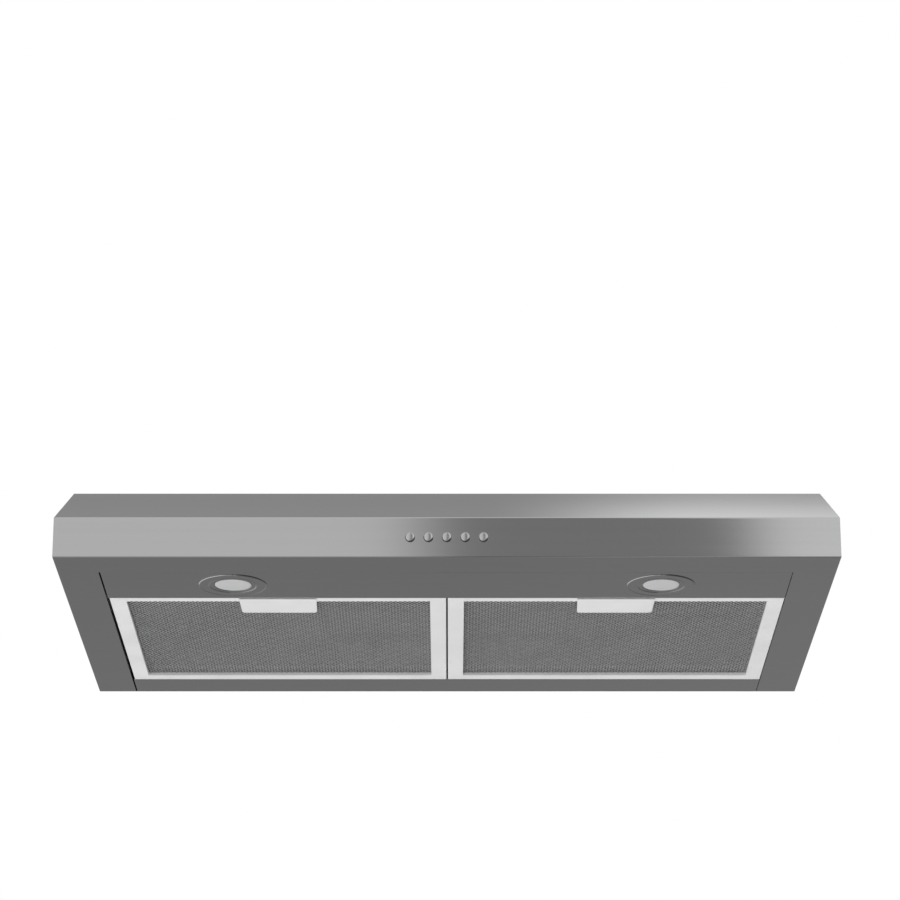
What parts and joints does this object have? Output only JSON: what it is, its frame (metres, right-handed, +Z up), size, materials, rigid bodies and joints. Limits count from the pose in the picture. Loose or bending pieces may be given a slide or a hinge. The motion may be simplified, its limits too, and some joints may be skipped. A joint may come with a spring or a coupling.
{
  "type": "under cabinet range hood",
  "caption": "Slim steel under-cabinet cooker hood with sloped front, push-buttons, lamps, lift-down mesh filters, flat blower and rectangular duct collar.",
  "frame": {"origin": "on the roof's top face, on the centre line, 310 mm behind the fascia, where the roof meets the cabinet", "axes": "+X across the hood, to the right seen from the front; +Y back, towards the wall; +Z up, towards the cabinet"},
  "size_m": [0.75, 0.468, 0.147],
  "materials": {
    "brushed_steel": "satin, fine grain running across the hood",
    "galvanised_steel": "dull zinc coat with faint spangle",
    "filter_aluminium": "pale satin anodised",
    "filter_mesh": "expanded mesh layers",
    "bright_steel": "bright drawn",
    "bright_chrome": "polished",
    "frosted_lens": "frosted diffuser",
    "circuit_board": "lacquered",
    "black_plastic": "moulded",
    "grey_plastic": "moulded",
    "sintered_bronze": "porous bearing metal",
    "lead_sheath": "smooth"
  },
  "bodies": {
    "hood": {"canopy_shell": "brushed_steel", "roof_panel": "galvanised_steel", "back_panel": "galvanised_steel", "rear_duct_cover": "galvanised_steel", "lamp_panel": "brushed_steel", "rear_trim": "brushed_steel", "filter_centre_rail": "black_plastic", "lamp_bezel_left": "brushed_steel", "lamp_bezel_right": "brushed_steel", "lamp_lens_left": "frosted_lens", "lamp_lens_right": "frosted_lens", "lamp_board_left": "circuit_board", "lamp_board_right": "circuit_board", "lamp_housing_left": "black_plastic", "lamp_housing_right": "black_plastic", "switch_block": "black_plastic", "switch_board": "circuit_board", "blower_scroll": "galvanised_steel", "blower_base_plate": "galvanised_steel", "inlet_guard": "black_plastic", "motor_can": "bright_steel", "motor_bearing": "sintered_bronze", "discharge_box": "galvanised_steel", "motor_capacitor": "bright_steel", "capacitor_strap": "galvanised_steel", "terminal_box": "galvanised_steel", "terminal_box_lid": "galvanised_steel", "terminal_block": "black_plastic", "cable_gland": "black_plastic", "gland_nut": "black_plastic", "duct_collar": "galvanised_steel", "damper_rod": "bright_steel", "switch_lead": "lead_sheath", "motor_lead": "lead_sheath", "lamp_lead_left": "lead_sheath", "lamp_lead_right": "lead_sheath", "base_plate_screw_1": "bright_steel", "base_plate_screw_2": "bright_steel", "base_plate_screw_3": "bright_steel", "base_plate_screw_4": "bright_steel"},
    "filter_left": {"filter_frame_left": "filter_aluminium", "filter_mesh_left": "filter_mesh", "latch_spring_left": "bright_steel"},
    "filter_right": {"filter_frame_right": "filter_aluminium", "filter_mesh_right": "filter_mesh", "latch_spring_right": "bright_steel"},
    "latch_left": {"filter_latch_left": "filter_aluminium"},
    "latch_right": {"filter_latch_right": "filter_aluminium"},
    "lamps_button": {"button_lamps": "bright_chrome"},
    "stop_button": {"button_stop": "bright_chrome"},
    "low_button": {"button_speed_low": "bright_chrome"},
    "mid_button": {"button_speed_mid": "bright_chrome"},
    "high_button": {"button_speed_high": "bright_chrome"},
    "fan_wheel": {"impeller": "grey_plastic", "impeller_nut": "bright_steel", "motor_shaft": "bright_steel"},
    "damper_front": {"damper_flap_front": "grey_plastic"},
    "damper_rear": {"damper_flap_rear": "grey_plastic"}
  },
  "joints": [
    {"name": "filter_left_drop", "type": "hinge", "parent": "hood", "child": "filter_left", "pos_m": [-0.1669, 0.1084, -0.1178], "axis": [1, 0, 0], "range_deg": [0, 70]},
    {"name": "filter_right_drop", "type": "hinge", "parent": "hood", "child": "filter_right", "pos_m": [0.1669, 0.1084, -0.1178], "axis": [1, 0, 0], "range_deg": [0, 70]},
    {"name": "latch_left_slide", "type": "slide", "parent": "filter_left", "child": "latch_left", "axis": [0, 1, 0], "range_m": [0, 0.006], "stiffness_N_per_m": 200, "springref_m": -0.01, "deforming": ["latch_spring_left"]},
    {"name": "latch_right_slide", "type": "slide", "parent": "filter_right", "child": "latch_right", "axis": [0, 1, 0], "range_m": [0, 0.006], "stiffness_N_per_m": 200, "springref_m": -0.01, "deforming": ["latch_spring_right"]},
    {"name": "button_lamps_press", "type": "slide", "parent": "hood", "child": "lamps_button", "axis": [0, 1, 0], "range_m": [0, 0.0025], "stiffness_N_per_m": 400, "springref_m": -0.002},
    {"name": "button_stop_press", "type": "slide", "parent": "hood", "child": "stop_button", "axis": [0, 1, 0], "range_m": [0, 0.0025], "stiffness_N_per_m": 400, "springref_m": -0.002},
    {"name": "button_low_press", "type": "slide", "parent": "hood", "child": "low_button", "axis": [0, 1, 0], "range_m": [0, 0.0025], "stiffness_N_per_m": 400, "springref_m": -0.002},
    {"name": "button_mid_press", "type": "slide", "parent": "hood", "child": "mid_button", "axis": [0, 1, 0], "range_m": [0, 0.0025], "stiffness_N_per_m": 400, "springref_m": -0.002},
    {"name": "button_high_press", "type": "slide", "parent": "hood", "child": "high_button", "axis": [0, 1, 0], "range_m": [0, 0.0025], "stiffness_N_per_m": 400, "springref_m": -0.002},
    {"name": "fan_spin", "type": "hinge", "parent": "hood", "child": "fan_wheel", "pos_m": [-0.03, -0.038, -0.05], "axis": [0, 0, 1], "continuous": true},
    {"name": "damper_front_lift", "type": "hinge", "parent": "hood", "child": "damper_front", "pos_m": [0, 0.095, 0.0105], "axis": [-1, 0, 0], "range_deg": [0, 80]},
    {"name": "damper_rear_lift", "type": "hinge", "parent": "hood", "child": "damper_rear", "pos_m": [0, 0.095, 0.0105], "axis": [1, 0, 0], "range_deg": [0, 80]}
  ]
}
